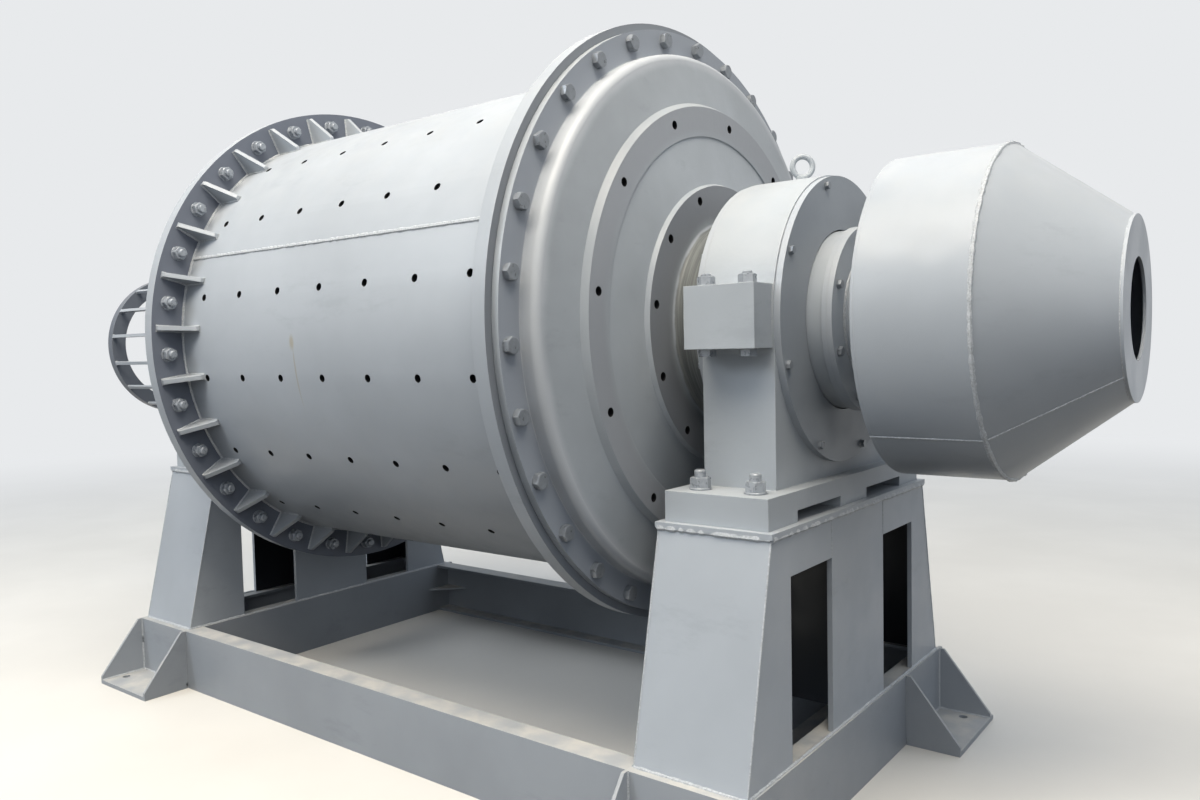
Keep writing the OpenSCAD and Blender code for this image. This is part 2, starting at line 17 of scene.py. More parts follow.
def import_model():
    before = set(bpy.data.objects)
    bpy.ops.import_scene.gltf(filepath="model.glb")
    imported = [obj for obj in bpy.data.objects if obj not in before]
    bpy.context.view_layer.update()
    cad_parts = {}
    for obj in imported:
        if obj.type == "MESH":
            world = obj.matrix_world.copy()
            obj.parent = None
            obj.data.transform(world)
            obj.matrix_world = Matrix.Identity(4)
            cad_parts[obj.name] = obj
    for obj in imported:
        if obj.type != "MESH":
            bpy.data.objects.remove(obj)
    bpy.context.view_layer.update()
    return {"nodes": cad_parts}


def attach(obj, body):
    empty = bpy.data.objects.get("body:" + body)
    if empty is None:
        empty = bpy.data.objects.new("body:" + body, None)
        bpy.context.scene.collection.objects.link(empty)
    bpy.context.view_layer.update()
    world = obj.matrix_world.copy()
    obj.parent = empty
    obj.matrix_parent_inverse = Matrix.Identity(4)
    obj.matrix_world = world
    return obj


LOG = logging.getLogger("grinding_mill")

Socket = bpy.types.NodeSocket
Finish = bpy.types.Material
Colour = tuple[int, int, int]
Triple = tuple[float, float, float]
Rgba = tuple[float, float, float, float]
Feed = Socket | float | tuple  # what may feed a socket
Spot = tuple[Vector, Vector]   # a point, and the way that what sits on it faces

GREY: Colour = (161, 167, 174)
CAST_GREY: Colour = (160, 166, 172)
BASE_GREY: Colour = (150, 155, 161)
# painted shade: the near black that fills the insides of bolt holes
HOLE_SHADE: Colour = (26, 27, 29)


class End(Enum):
    """The two ends of the drum; the value is the end's side along the shaft."""

    FEED = 1
    DISCHARGE = -1

    @property
    def word(self) -> str:
        """The end's name as the nodes spell it."""
        return self.name.lower()


class Body(Enum):
    """The two bodies of the frame that a piece may ride on."""

    DRUM = "drum"
    STAND = "stand"


@dataclass(frozen=True)
class Shaft:
    """The drum's shaft: where its middle is, and how places on it are found."""

    mid_x: float = 0.161
    height: float = 1.810
    bearing_x: float = 1.640

    def at(self, end: End, x: float, radius: float, angle: float) -> Vector:
        """Finds a point around the shaft.

        Args:
            end: The end that the distance runs to.
            x: Distance from the drum's middle.
            radius: Distance from the shaft.
            angle: Degrees up from the front.

        Returns:
            The point in the frame.
        """
        turn = math.radians(angle)
        return Vector((self.mid_x + end.value * x, -radius * math.cos(turn), self.height + radius * math.sin(turn)))

    def outward(self, angle: float) -> Vector:
        """The direction straight out from the shaft at an angle up from the front."""
        turn = math.radians(angle)
        return Vector((0.0, -math.cos(turn), math.sin(turn)))

    def along(self, end: End) -> Vector:
        """The direction along the shaft towards an end."""
        return Vector((end.value, 0.0, 0.0))

    def over_bearing(self, end: End, x: float, y: float, z: float) -> Vector:
        """A point by a bearing: x runs away from the drum from the bearing's middle, z up from the floor."""
        return Vector((self.mid_x + end.value * (self.bearing_x + x), y, z))


SHAFT = Shaft()
HEX_CROWN = 0.475               # radius of a bolt head's flat top, as a share of its width across flats
HEX_CHAMFER = math.radians(30)  # slope of the cone that is turned on its corners
ACROSS_SHAFT: Triple = (0.0, 1.0, 1.0)


def standing(point: Vector, outward: Vector, turn: float = 0.0) -> Matrix:
    """Places a shape that is drawn along +Z.

    Args:
        point: Where its foot goes.
        outward: Where its +Z goes.
        turn: Degrees that it is turned about its own axis.

    Returns:
        The matrix that puts it there.
    """
    facing = outward.to_track_quat("Z", "Y").to_matrix().to_4x4()
    return Matrix.Translation(point) @ facing @ Matrix.Rotation(math.radians(turn), 4, "Z")


def placed(name: str, data: bpy.types.ID, pose: Matrix = Matrix.Identity(4)) -> bpy.types.Object:
    """A new object in the scene, at its pose."""
    obj = bpy.data.objects.new(name, data)
    obj.matrix_world = pose
    bpy.context.scene.collection.objects.link(obj)
    return obj


@dataclass(frozen=True)
class Weld:
    """How a weld bead is laid: its mean radius, the length of a ripple, and the share by which its radius varies."""

    radius: float
    ripple: float = 0.014
    uneven: float = 0.16


FLANGE_WELD = Weld(0.008)
SHELL_SEAM = Weld(0.0095, 0.011, 0.24)
GUSSET_WELD = Weld(0.006, 0.020)
CONE_SEAM = Weld(0.0085, 0.012, 0.26)
PLATE_SEAM = Weld(0.0042, 0.009, 0.22)
MOUTH_WELD = Weld(0.004)
NECK_WELD = Weld(0.007)
BAR_WELD = Weld(0.0045, 0.005)
RIM_WELD = Weld(0.011, 0.016, 0.28)
BASE_WELD = Weld(0.007, 0.016, 0.28)
CORNER_WELD = Weld(0.0035, 0.016)
WALL_SEAM = Weld(0.0028)
BRACKET_WELD = Weld(0.0055, 0.018)
BRACKET_FOOT_WELD = Weld(0.006, 0.018)


@dataclass
class Shape:
    """A mesh in the making."""

    bm: bmesh.types.BMesh = field(default_factory=bmesh.new)

    def disc_stack(self, steps: Sequence[tuple[float, float]], segments: int = 32, turn: float = 0.0) -> "Shape":
        """Turns a closed round body out of a disc that is extruded and scaled step by step along +Z.

        Args:
            steps: (radius, height) of each edge from the foot to the top.
            segments: Sides of the round.
            turn: Degrees that the first corner is turned.

        Returns:
            This shape.
        """
        (radius, height), *rest = steps
        made = bmesh.ops.create_circle(
            self.bm, cap_ends=True, segments=segments, radius=radius,
            matrix=Matrix.Translation((0, 0, height)) @ Matrix.Rotation(math.radians(turn), 4, "Z"))
        top = made["verts"][0].link_faces[:]
        foot_at, foot_r = height, radius
        for radius, height in rest:
            raised = bmesh.ops.extrude_face_region(self.bm, geom=top)["geom"]
            verts = [g for g in raised if isinstance(g, bmesh.types.BMVert)]
            bmesh.ops.translate(self.bm, verts=verts, vec=(0, 0, height - foot_at))
            ratio = radius / foot_r
            bmesh.ops.scale(self.bm, verts=verts, vec=(ratio, ratio, 1.0))
            top = [g for g in raised if isinstance(g, bmesh.types.BMFace)]
            foot_at, foot_r = height, radius
        bmesh.ops.recalc_face_normals(self.bm, faces=self.bm.faces)
        return self

    def hexagon(self, flats: float, foot: float, top: float) -> "Shape":
        """Adds a hexagon prism whose top is turned to a cone, as a forged bolt head's is.

        Args:
            flats: Width across its flats.
            foot: Height of its underside.
            top: Height of its top.

        Returns:
            This shape.
        """
        made = bmesh.ops.create_circle(self.bm, cap_ends=True, segments=36, radius=1.0)
        loops = [made["verts"]]
        cap = loops[0][0].link_faces[:]
        for _ in range(2):
            raised = bmesh.ops.extrude_face_region(self.bm, geom=cap)["geom"]
            loops.append([g for g in raised if isinstance(g, bmesh.types.BMVert)])
            cap = [g for g in raised if isinstance(g, bmesh.types.BMFace)]
        crown = flats * HEX_CROWN
        for level, loop in enumerate(loops):
            for vert in loop:
                turn = math.atan2(vert.co.y, vert.co.x)
                flat = math.remainder(turn, math.pi / 3)
                rim = flats / 2 / math.cos(flat)
                height = (foot, top - (rim - crown) * math.tan(HEX_CHAMFER), top)[level]
                out = crown if level == 2 else rim
                vert.co = (out * math.cos(turn), out * math.sin(turn), height)
        return self

    def washer(self, radius: float, foot: float, thickness: float) -> "Shape":
        """Adds a washer with a softened rim, standing at a height."""
        soft = thickness * 0.25
        top = foot + thickness
        return self.stamp(Shape().disc_stack(
            [(radius - soft, foot), (radius, foot + soft), (radius, top - soft), (radius - soft, top)]))

    def stamp(self, other: "Shape", place: Matrix = Matrix.Identity(4)) -> "Shape":
        """Copies another shape in at a place.

        Args:
            other: The shape to copy.
            place: The matrix that moves the copy.

        Returns:
            This shape.
        """
        mesh = bpy.data.meshes.new("stamp")
        other.bm.to_mesh(mesh)
        mesh.transform(place)
        self.bm.from_mesh(mesh)
        bpy.data.meshes.remove(mesh)
        return self

    def bead(self, path: Sequence[Vector], weld: Weld, seed: int, closed: bool = False, sides: int = 7) -> "Shape":
        """Lays a weld bead: a small circle that is extruded from point to point with an uneven hand.

        Args:
            path: The points that it follows, one ripple apart.
            weld: How it is laid.
            seed: Start of its unevenness.
            closed: Whether it comes back to its start.
            sides: Sides of its round.

        Returns:
            This shape.
        """
        hand = random.Random(seed)
        count = len(path)

        def frame_at(i: int) -> Matrix:
            """The bead's own axes at a point of its path."""
            before = path[(i - 1) % count] if closed or i else path[0]
            after = path[(i + 1) % count] if closed or i < count - 1 else path[-1]
            size = 1.0 + hand.uniform(-weld.uneven, weld.uneven)
            return standing(path[i], (after - before).normalized()) @ Matrix.Scale(size, 4)

        here = frame_at(0)
        start = bmesh.ops.create_circle(self.bm, cap_ends=False, segments=sides, radius=weld.radius, matrix=here)
        first = list({e for v in start["verts"] for e in v.link_edges})
        edges = first
        for i in range(1, count):
            there = frame_at(i)
            grown = bmesh.ops.extrude_edge_only(self.bm, edges=edges)["geom"]
            verts = [g for g in grown if isinstance(g, bmesh.types.BMVert)]
            edges = [g for g in grown if isinstance(g, bmesh.types.BMEdge)
                     and all(v in verts for v in g.verts)]
            bmesh.ops.transform(self.bm, matrix=there @ here.inverted(), verts=verts)
            here = there
        if closed:
            bmesh.ops.bridge_loops(self.bm, edges=edges + first)
            return self
        for end in (edges, first):
            bmesh.ops.holes_fill(self.bm, edges=end, sides=sides)
        return self

    def straight(self, start: Vector, stop: Vector, weld: Weld, seed: int, sides: int = 7) -> "Shape":
        """Lays a straight weld bead."""
        count = max(2, round((stop - start).length / weld.ripple))
        return self.bead([start.lerp(stop, k / count) for k in range(count + 1)], weld, seed, sides=sides)

    def around(self, end: End, x: float, radius: float, weld: Weld, seed: int) -> "Shape":
        """Lays a weld bead in a full circle about the shaft."""
        count = max(24, round(2 * math.pi * radius / weld.ripple))
        return self.bead([SHAFT.at(end, x, radius, 360 * k / count) for k in range(count)], weld, seed, closed=True)

    def piece(self, name: str, finish: Finish, body: Body, slot: str,
              crease: float = 34.0) -> bpy.types.Object:
        """Makes the finished object of this shape and lets it ride on its body.

        Args:
            name: The piece's name.
            finish: Its material.
            body: The body that it moves with.
            slot: Not used.
            crease: Degrees between two faces past which their edge stays sharp.

        Returns:
            The object.
        """
        bmesh.ops.recalc_face_normals(self.bm, faces=self.bm.faces)
        mesh = bpy.data.meshes.new(name)
        self.bm.to_mesh(mesh)
        self.bm.free()
        mesh.polygons.foreach_set("use_smooth", [True] * len(mesh.polygons))
        mesh.set_sharp_from_angle(angle=math.radians(crease))
        mesh.materials.append(finish)
        obj = placed(name, mesh)
        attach(obj, body.value)
        LOG.info("%s: %d faces", name, len(mesh.polygons))
        return obj


def bolt_circle(end: End, x: float, radius: float, phase: float, count: int, facing: Vector) -> list[Spot]:
    """Evenly spaced spots about the shaft, all facing one way."""
    return [(SHAFT.at(end, x, radius, phase + 360 * k / count), facing) for k in range(count)]


@dataclass(frozen=True)
class Fastener:
    """A hexagon bolt head or a nut with its washer and the stud's end, drawn along +Z from the face it sits on."""

    flats: float
    height: float
    washer_r: float
    washer_t: float
    stud_r: float = 0.0
    stud_out: float = 0.0

    def shape(self) -> Shape:
        """Builds the fastener: its washer, its hexagon and, on a nut, the stud's end."""
        made = Shape()
        made.washer(self.washer_r, 0.0, self.washer_t)
        top = self.washer_t + self.height
        made.hexagon(self.flats, self.washer_t, top)
        if self.stud_out:
            tip = top + self.stud_out
            cut = self.stud_r * 0.2
            made.stamp(Shape().disc_stack(
                [(self.stud_r, top - 0.001), (self.stud_r, tip - cut), (self.stud_r - cut, tip)], 24))
        return made

    def stamped(self, places: Iterable[Spot], seed: int) -> Shape:
        """Copies the fastener to many places, each turned by chance.

        Args:
            places: The point that each sits on and the direction that it faces.
            seed: Start of the chance.

        Returns:
            One shape with all of them.
        """
        hand = random.Random(seed)
        one = self.shape()
        made = Shape()
        for point, facing in places:
            made.stamp(one, standing(point, facing, hand.uniform(0, 60)))
        return made


FLANGE_HEAD = Fastener(flats=0.055, height=0.0235, washer_r=0.0295, washer_t=0.003)
FLANGE_NUT = Fastener(flats=0.055, height=0.029, washer_r=0.034, washer_t=0.006, stud_r=0.018, stud_out=0.020)
LUG_HEAD = Fastener(flats=0.055, height=0.0225, washer_r=0.032, washer_t=0.004)
LUG_NUT = Fastener(flats=0.055, height=0.029, washer_r=0.032, washer_t=0.004, stud_r=0.018, stud_out=0.010)
FOOT_NUT = Fastener(flats=0.065, height=0.036, washer_r=0.040, washer_t=0.007, stud_r=0.021, stud_out=0.026)
SEAL_SCREW = Fastener(flats=0.027, height=0.012, washer_r=0.018, washer_t=0.003)
END_BOLT = Fastener(flats=0.030, height=0.013, washer_r=0.0185, washer_t=0.003)
FASTENER_CREASE = 25.0  # degrees past which a fastener's edge stays sharp


@dataclass
class Nodes:
    """A node tree that is being wired."""

    tree: bpy.types.NodeTree

    def feed(self, target: bpy.types.Node, feeds: dict[str | int, Feed]) -> None:
        """Feeds some inputs of a node, each from another socket or with a value."""
        for key, source in feeds.items():
            if isinstance(source, Socket):
                self.tree.links.new(source, target.inputs[key])
            else:
                target.inputs[key].default_value = source

    def node(self, kind: str, feeds: dict[str | int, Feed] | None = None, **settings: object) -> bpy.types.Node:
        """A new node with some of its settings made and some of its inputs fed."""
        made = self.tree.nodes.new(kind)
        for key, value in settings.items():
            setattr(made, key, value)
        self.feed(made, feeds or {})
        return made

    def found(self, kind: str) -> bpy.types.Node:
        """The node of a kind that the tree already has."""
        return next(n for n in self.tree.nodes if n.type == kind)

    def sum(self, kind: str, first: Feed, second: Feed, clamp: bool = False) -> Socket:
        """One sum of two values."""
        return self.node("ShaderNodeMath", {0: first, 1: second}, operation=kind, use_clamp=clamp).outputs[0]

    def times(self, first: Feed, second: Feed) -> Socket:
        """Two values multiplied."""
        return self.sum("MULTIPLY", first, second)

    def span(self, value: Socket, low: float, high: float, to_low: float = 0.0, to_high: float = 1.0) -> Socket:
        """A value's range stretched smoothly onto another one."""
        feeds = {"Value": value, "From Min": low, "From Max": high, "To Min": to_low, "To Max": to_high}
        return self.node("ShaderNodeMapRange", feeds, interpolation_type="SMOOTHSTEP").outputs["Result"]

    def axis(self, letter: str, source: Socket) -> Socket:
        """One coordinate of a place or a direction."""
        return self.node("ShaderNodeSeparateXYZ", {0: source}).outputs[letter]

    def blend(self, share: Feed, first: Feed, second: Feed, kind: str = "RGBA",
              sockets: tuple[int, int, int] = (6, 7, 2)) -> Socket:
        """Two values mixed by a share of the second, through the sockets that their type has."""
        feeds = {"Factor": share, sockets[0]: first, sockets[1]: second}
        return self.node("ShaderNodeMix", feeds, data_type=kind).outputs[sockets[2]]

    def mix_shaders(self, share: Socket, first: bpy.types.Node, second: bpy.types.Node, output: str) -> None:
        """Mixes two shaders by a share of the second and feeds the tree's output."""
        mix = self.node("ShaderNodeMixShader", {0: share, 1: first.outputs[0], 2: second.outputs[0]})
        self.feed(self.found(output), {"Surface": mix.outputs[0]})

    def looked_at(self) -> Socket:
        """1 where the camera, a gloss or a glass looks at a surface, and 0 where its light only bounces on."""
        ray = self.node("ShaderNodeLightPath").outputs
        seen = self.sum("MAXIMUM", ray["Is Camera Ray"], ray["Is Glossy Ray"])
        return self.sum("MAXIMUM", seen, ray["Is Transmission Ray"])


class Coat(Nodes):
    """A node material being mixed, with the patterns that the finishes share."""

    def __init__(self, name: str) -> None:
        """Starts a material with its shader and the object's own coordinates."""
        self.material = bpy.data.materials.new(name)
        self.material.use_nodes = True
        super().__init__(self.material.node_tree)
        self.shader = self.found("BSDF_PRINCIPLED")
        coords = self.node("ShaderNodeTexCoord")
        self.place = coords.outputs["Object"]
        self.facing = coords.outputs["Normal"]
        self.flat = self.node("ShaderNodeNewGeometry").outputs["Normal"]

    def stretched(self, scale: Triple) -> Socket:
        """The object's coordinates, scaled along each axis."""
        return self.node("ShaderNodeMapping", {"Vector": self.place, "Scale": scale}).outputs["Vector"]

    def noise(self, scale: float, detail: float = 3.0, rough: float = 0.5, place: Socket | None = None) -> Socket:
        """Soft noise with a number of lumps per metre."""
        feeds = {"Vector": place or self.place, "Scale": scale, "Detail": detail, "Roughness": rough}
        return self.node("ShaderNodeTexNoise", feeds).outputs["Fac"]

    def vectors(self, kind: str, first: Feed, second: Feed) -> bpy.types.Node:
        """One sum of two vectors."""
        return self.node("ShaderNodeVectorMath", {0: first, 1: second}, operation=kind)

    def unsigned(self, value: Socket) -> Socket:
        """A value without its sign."""
        return self.sum("ABSOLUTE", value, 0.0)

    def astray(self, value: Socket, pattern: Socket, reach: float) -> Socket:
        """A value that a pattern leads astray to both sides."""
        return self.sum("ADD", value, self.times(self.sum("SUBTRACT", pattern, 0.5), reach))

    def offset(self, centre: Sequence[float], stretch: Triple = (1, 1, 1)) -> Socket:
        """The way here from a point, with each axis stretched."""
        return self.vectors("MULTIPLY", self.vectors("SUBTRACT", self.place, centre).outputs[0], stretch).outputs[0]

    def away(self, centre: Sequence[float], stretch: Triple = (1, 1, 1)) -> Socket:
        """Distance from a point, with each axis stretched."""
        return self.vectors("LENGTH", self.offset(centre, stretch), (0, 0, 0)).outputs["Value"]

    def turned_out(self, offset: Socket) -> Socket:
        """How far along an offset a face looks: more than 0 where it looks outwards."""
        return self.vectors("DOT_PRODUCT", offset, self.facing).outputs["Value"]

    def bump(self, height: Socket, distance: float, strength: float = 1.0, over: Socket | None = None) -> Socket:
        """A surface raised by a height pattern."""
        feeds = {"Strength": strength, "Distance": distance, "Height": height}
        if over is not None:
            feeds["Normal"] = over
        return self.node("ShaderNodeBump", feeds).outputs["Normal"]

    def soft_edge(self, radius: float) -> tuple[Socket, Socket]:
        """Rounds the edges in the shading.

        Args:
            radius: The rounding's radius.

        Returns:
            The rounded normal, and a mask that is 1 right on an edge.
        """
        rounded = self.node("ShaderNodeBevel", {"Radius": radius}, samples=4).outputs[0]
        kept = self.vectors("DOT_PRODUCT", rounded, self.flat).outputs["Value"]
        return rounded, self.span(kept, 0.98, 0.72)

    def mottle(self, pattern: Socket, colour: Colour, darkest: float, lightest: float) -> Socket:
        """A colour that a pattern makes darker here and lighter there."""
        return self.blend(self.span(pattern, 0.3, 0.7), shade(colour, darkest), shade(colour, lightest))

    def close(self, colour: Socket, roughness: Socket, normal: Socket, metallic: float = 0.0) -> Finish:
        """Feeds the shader and gives the finished material."""
        self.feed(self.shader, {"Roughness": roughness, "Normal": normal, "Metallic": metallic})
        return self.recolour(colour)

    def recolour(self, colour: Socket) -> Finish:
        """Feeds the shader a colour and gives the finished material."""
        self.feed(self.shader, {"Base Color": colour})
        return self.material


def linear(colour: Colour) -> Rgba:
    """A colour given in 0 to 255 as a screen shows it, in the shader's own scale."""
    values = [c / 255 for c in colour]
    return (*[v / 12.92 if v <= 0.04045 else ((v + 0.055) / 1.055) ** 2.4 for v in values], 1.0)


def shade(colour: Colour, factor: float) -> Rgba:
    """A colour in the shader's own scale, made darker or lighter by a factor."""
    return (*[min(1.0, c * factor) for c in linear(colour)[:3]], 1.0)


@dataclass(frozen=True)
class Paint:
    """Machine paint on plate or casting, in metres, with its unevenness, dust and a painted highlight on its rounded
    edges.
    """

    name: str
    colour: Colour
    roughness: float = 0.36
    clouding: float = 0.05
    peel: float = 0.00012
    casting: float = 0.0
    dust: float = 0.10
    edge: float = 0.0025
    edge_glint_share: float = 0.30
    dents: tuple[Triple, ...] = ()
    dent_reach: float = 0.085
    dent_depth: float = 0.0025
    flush_at: tuple[float, ...] = ()
    dust_colour: Colour = (205, 200, 190)
    edge_glint_colour: Colour = (206, 207, 206)
    smear_darker: int = 34

    def coat(self) -> tuple[Coat, Socket]:
        """Mixes the paint.

        Returns:
            The open coat and the colour that reaches its shader, for a finish that adds to it.
        """
        coat = Coat(self.name)
        dark, light = (shade(self.colour, 1 + part * self.clouding) for part in (-1.6, 1.4))
        cloud = coat.blend(coat.span(coat.noise(1.1, 4.0, 0.55), 0.33, 0.68), dark, light)
        patches = coat.noise(7.0, 5.0, 0.6)
        cloud = coat.blend(coat.span(patches, 0.42, 0.75, 0.0, 0.35), cloud, linear(self.colour))
        # fine dust that lies on what faces up
        up = coat.span(coat.axis("Z", coat.facing), 0.25, 0.95)
        specks = coat.span(coat.noise(9.0, 6.0, 0.55), 0.30, 0.70)
        lying = coat.times(up, coat.times(coat.sum("ADD", specks, 0.35), self.dust))
        coloured = coat.blend(lying, cloud, linear(self.dust_colour))
        # faint smears from hands and slings
        smears = coat.noise(2.2, 6.0, 0.7, coat.stretched((1.0, 1.6, 3.2)))
        smeared = linear(tuple(max(0, c - self.smear_darker) for c in self.colour))
        coloured = coat.blend(coat.span(smears, 0.56, 0.72, 0.0, 0.22), coloured, smeared)
        # rounded edges with a painted highlight on them, left out where two flush pieces meet
        normal, rim = coat.soft_edge(self.edge)
        for height in self.flush_at:
            off = coat.unsigned(coat.sum("SUBTRACT", coat.axis("Z", coat.place), height))
            keep = coat.span(off, self.edge * 1.1, self.edge * 1.6)
            normal = coat.blend(keep, coat.flat, normal, "VECTOR", (4, 5, 1))
            rim = coat.times(rim, keep)
        edge_glint = coat.times(rim, coat.span(coat.noise(26.0, 4.0, 0.6), 0.30, 0.62, 0.25, self.edge_glint_share))
        coloured = coat.blend(edge_glint, coloured, linear(self.edge_glint_colour))
        # lumps of the casting or waves of the plate, orange peel and dents
        if self.casting:
            normal = coat.bump(coat.noise(55.0, 6.0, 0.6), self.casting, 0.6, normal)
            normal = coat.bump(coat.noise(6.0, 3.0, 0.5), self.casting * 5, 0.5, normal)
        else:
            normal = coat.bump(coat.noise(3.2, 2.0, 0.4), 0.0016, 0.5, normal)
        normal = coat.bump(coat.noise(420.0, 2.0, 0.5), self.peel, 0.55, normal)
        for dent in self.dents:
            normal = coat.bump(coat.span(coat.away(dent), 0.0, self.dent_reach), self.dent_depth, 1.0, normal)
        gloss = coat.sum("ADD", coat.span(patches, 0.3, 0.7, -0.05, 0.07), self.roughness)
        gloss = coat.sum("ADD", gloss, coat.times(lying, 1.2), clamp=True)
        coat.close(coloured, gloss, normal)
        coat.feed(coat.shader, {"Specular IOR Level": 0.38})
        return coat, coloured

    def make(self) -> Finish:
        """The finished material."""
        return self.coat()[0].material


@dataclass(frozen=True)
class Stain:
    """One patch of a run of rusty water: where it is, how wide and long, and how strong."""

    centre: Triple
    width: float
    length: float
    share: float


@dataclass(frozen=True)
class StainedPaint(Paint):
    """Shell paint with its bolt holes painted black as painted shade, and one thin run of rusty water below a joint of
    the plates.
    """

    stains: tuple[Stain, ...] = (Stain((-0.019, -1.075, 1.775), 0.020, 0.040, 0.62),
                                 Stain((-0.012, -1.068, 1.640), 0.006, 0.160, 0.55))
    rust: Colour = (146, 136, 108)

    def make(self) -> Finish:
        """The finished material, holes and stain included."""
        coat, coloured = self.coat()
        # the shell's own faces look along its radius, and the walls of the holes look across it; those walls are
        # painted near black as painted shade in the holes
        along_radius = coat.turned_out(coat.offset((0.0, 0.0, SHAFT.height), ACROSS_SHAFT))
        walls = coat.sum("LESS_THAN", coat.unsigned(along_radius), 0.5)
        coloured = coat.blend(walls, coloured, linear(HOLE_SHADE))
        wobble = coat.noise(14.0, 3.0, 0.5)
        for stain in self.stains:
            away = coat.astray(coat.away(stain.centre, (1.0 / stain.width, 0.0, 1.0 / stain.length)), wobble, 0.5)
            run = coat.times(coat.span(away, 1.1, 0.3, 0.0, stain.share),
                             coat.span(coat.axis("Y", coat.place), -0.9, -1.0))
            coloured = coat.blend(run, coloured, linear(self.rust))
        return coat.recolour(coloured)


@dataclass(frozen=True)
class FlangePaint(Paint):
    """Paint of a flange or a seal, whose faces along the shaft are painted darker as painted shade."""

    face: Colour = (102, 108, 120)

    def make(self) -> Finish:
        """The finished material."""
        coat, coloured = self.coat()
        # faces that look along the shaft are painted darker: painted shade
        faced = coat.span(coat.unsigned(coat.axis("X", coat.facing)), 0.85, 0.95)
        return coat.recolour(coat.blend(faced, coloured, linear(self.face)))


@dataclass(frozen=True)
class MachinedRing:
    """A machined ring face of a head: its two radii, how far out it starts, and its colour."""

    inner: float
    outer: float
    out: float
    colour: Colour


@dataclass(frozen=True)
class HeadPaint(Paint):
    """Paint of the cast head: darker machined rings, holes painted black as painted shade, a lighter band on the
    dish's outer bend as a painted highlight, and a bare, oiled neck.
    """

    side: End = End.FEED
    rings: tuple[MachinedRing, ...] = (
        MachinedRing(1.090, 1.198, 1.128, (143, 149, 158)), MachinedRing(0.772, 0.884, 1.250, (152, 156, 162)),
        MachinedRing(0.420, 0.567, 1.288, (130, 134, 140)))
    hole_circles: tuple[float, ...] = (0.829, 0.523)
    hole_reach: float = 0.0185
    highlight_band_colour_r: float = 1.100
    highlight_band_colour: Colour = (182, 186, 191)
    neck_from: float = 1.297
    neck_to: float = 1.700
    oil_dark: Colour = (98, 101, 101)
    oil_light: Colour = (128, 131, 129)

    def make(self) -> Finish:
        """The finished material: painted casting and trunnion end, oiled neck between them."""
        coat, coloured = self.coat()
        from_middle = coat.sum("SUBTRACT", coat.axis("X", coat.place), SHAFT.mid_x)
        out = coat.times(from_middle, float(self.side.value))
        radius = coat.away((0.0, 0.0, SHAFT.height), ACROSS_SHAFT)
        along_shaft = coat.unsigned(coat.axis("X", coat.facing))
        faced = coat.span(along_shaft, 0.92, 0.98)
        brushed = coat.astray(radius, coat.noise(5.0, 4.0), 0.05)
        for ring in self.rings:
            share = coat.times(coat.span(brushed, ring.inner - 0.03, ring.inner + 0.03),
                               coat.span(radius, ring.outer + 0.004, ring.outer))
            share = coat.times(share, coat.times(faced, coat.span(out, ring.out, ring.out + 0.004)))
            coloured = coat.blend(share, coloured, linear(ring.colour))
        # the walls of the head's holes are painted near black: painted shade
        for circle in self.hole_circles:
            near = coat.sum("LESS_THAN", coat.unsigned(coat.sum("SUBTRACT", radius, circle)), self.hole_reach)
            walls = coat.times(near, coat.sum("LESS_THAN", along_shaft, 0.3))
            coloured = coat.blend(walls, coloured, linear(HOLE_SHADE))
        # a lighter band round the dish's outer bend: a painted highlight
        highlight_band = coat.span(coat.astray(radius, coat.noise(4.0, 4.0), 0.05), 1.035, 1.075)
        highlight_band = coat.times(highlight_band, coat.span(radius, self.highlight_band_colour_r, self.highlight_band_colour_r - 0.004))
        coloured = coat.blend(coat.times(highlight_band, 0.85), coloured, linear(self.highlight_band_colour))
        depth = coat.astray(out, coat.noise(9.0, 3.0), 0.012)
        oiled = coat.times(coat.span(depth, self.neck_from, self.neck_from + 0.006),
                           coat.span(depth, self.neck_to + 0.006, self.neck_to))
        streaks = coat.noise(3.0, 5.0, 0.6, coat.stretched((60.0, 1.5, 1.5)))
        neck = coat.blend(coat.span(streaks, 0.3, 0.7), linear(self.oil_dark), linear(self.oil_light))
        return coat.recolour(coat.blend(oiled, coloured, neck))


@dataclass(frozen=True)
class PedestalPaint(Paint):
    """Paint of a pedestal, whose hollow inside is painted near black as painted shade."""

    end: End = End.FEED
    inner_half_x: float = 0.199
    hollow_shade: Colour = (40, 43, 48)

    def make(self) -> Finish:
        """The finished material."""
        coat, coloured = self.coat()
        level = coat.offset(SHAFT.over_bearing(self.end, 0.0, 0.0, 0.0), (1.0, 1.0, 0.0))
        # faces inside the pedestal's hollow are painted near black: painted shade
        hollow = coat.times(coat.sum("LESS_THAN", coat.unsigned(coat.axis("X", level)), self.inner_half_x),
                            coat.sum("LESS_THAN", coat.turned_out(level), 0.03))
        return coat.recolour(coat.blend(hollow, coloured, linear(self.hollow_shade)))


@dataclass(frozen=True)
class BareSteel:
    """Turned steel with fine lines along one axis, and a painted highlight on its edges."""

    name: str
    colour: Colour = (150, 152, 154)
    roughness: float = 0.36
    grain: Triple = (220.0, 4.0, 4.0)
    rim_highlight: Colour = (214, 215, 214)

    def make(self) -> Finish:
        """The finished material."""
        coat = Coat(self.name)
        lines = coat.noise(3.0, 4.0, 0.6, coat.stretched(self.grain))
        normal, rim = coat.soft_edge(0.0012)
        # a paler colour on the rounded edges: a painted highlight
        coloured = coat.blend(coat.times(rim, 0.5), coat.mottle(lines, self.colour, 0.72, 1.0),
                              linear(self.rim_highlight))
        gloss = coat.span(lines, 0.25, 0.75, self.roughness - 0.06, self.roughness + 0.1)
        return coat.close(coloured, gloss, coat.bump(lines, 0.0002, 0.4, normal), 0.75)


